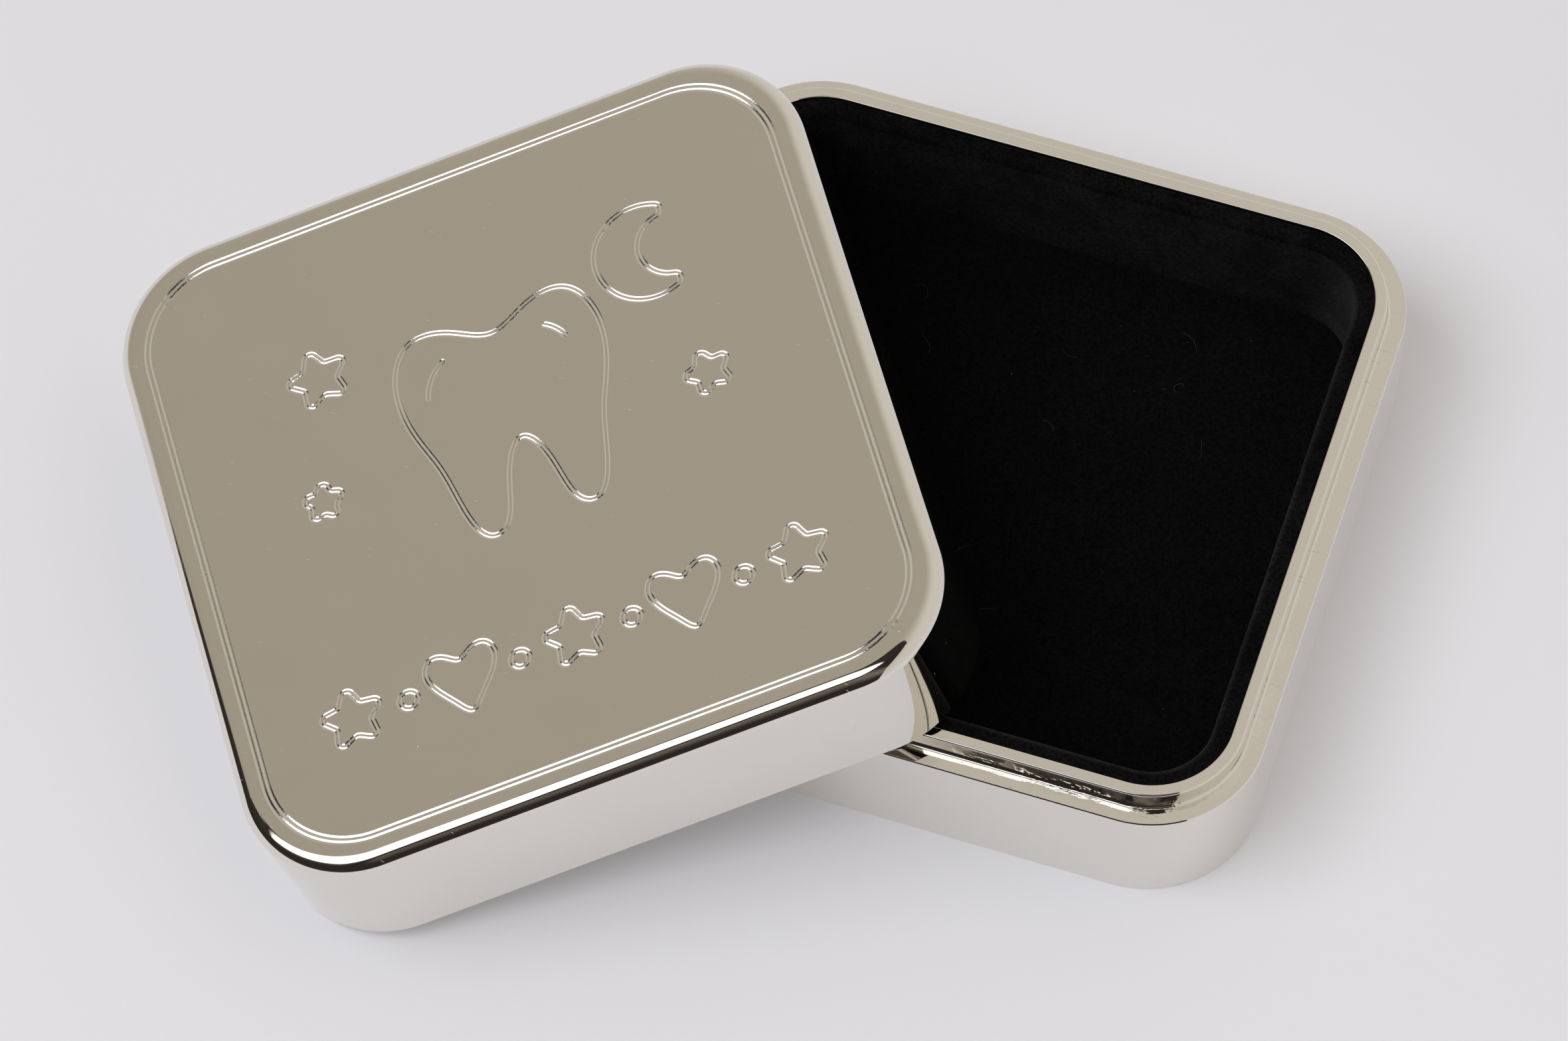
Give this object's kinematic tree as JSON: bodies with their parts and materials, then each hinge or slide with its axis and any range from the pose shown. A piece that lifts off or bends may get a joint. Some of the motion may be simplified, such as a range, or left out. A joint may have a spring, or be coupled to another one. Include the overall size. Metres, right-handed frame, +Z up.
{
  "type": "keepsake box",
  "caption": "Square plated keepsake box for milk teeth: a velvet-lined tray with a raised lip, and a lift-off skirted lid with a border groove, lying tilted against the lip.",
  "frame": {"origin": "centre of the base's underside, on the table", "axes": "+Z up; X and Y along the base's sides, so that the lid leans over the base's left (-X) and near (-Y) side"},
  "size_m": [0.1006, 0.0849, 0.0275],
  "materials": {
    "nickel_plate": "polished nickel plate on a casting",
    "black_velvet": "short-pile velvet, matt",
    "black_felt": "pressed felt, matt",
    "grey_card": "uncoated grey card, hidden"
  },
  "bodies": {
    "base": {"base_shell": "nickel_plate", "base_felt": "black_felt", "base_wall_card": "grey_card", "base_wall_velvet": "black_velvet", "base_floor_card": "grey_card", "base_floor_velvet": "black_velvet"},
    "lid": {"lid_shell": "nickel_plate", "lid_card": "grey_card", "lid_velvet": "black_velvet"}
  },
  "joints": [
    {"name": "lid_lift", "type": "slide", "parent": "base", "child": "lid", "axis": [0, 0, 1], "range_m": [0, 0.06]}
  ]
}
